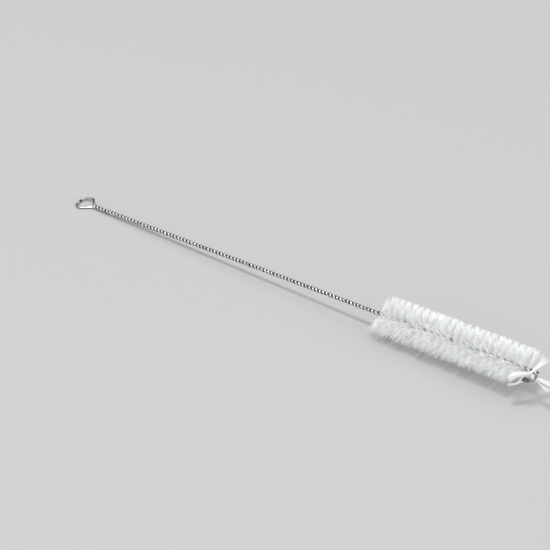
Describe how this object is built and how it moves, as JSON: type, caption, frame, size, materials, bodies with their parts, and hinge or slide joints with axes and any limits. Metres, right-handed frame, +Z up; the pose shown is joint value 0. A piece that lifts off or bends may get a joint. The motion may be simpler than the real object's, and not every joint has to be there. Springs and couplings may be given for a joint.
{
  "type": "bottle brush",
  "caption": "Twisted-wire bottle brush: hanging ring, long twisted stem, cylindrical head of clear nylon bristles and a splayed tuft hooked at the tip.",
  "frame": {"origin": "middle of the brush's bounding box, at the level of the surface that it lies on", "axes": "+X along the brush from the hanging ring to the tip, +Y across it, +Z up from the surface"},
  "size_m": [0.2816, 0.0238, 0.0258],
  "materials": {
    "steel_wire": "bright drawn and galvanised wire",
    "nylon_bristle": "clear white nylon filament, satin"
  },
  "bodies": {
    "root": {"stem_wire": "steel_wire", "bristle_head": "nylon_bristle", "tip_tuft": "nylon_bristle"}
  },
  "joints": []
}
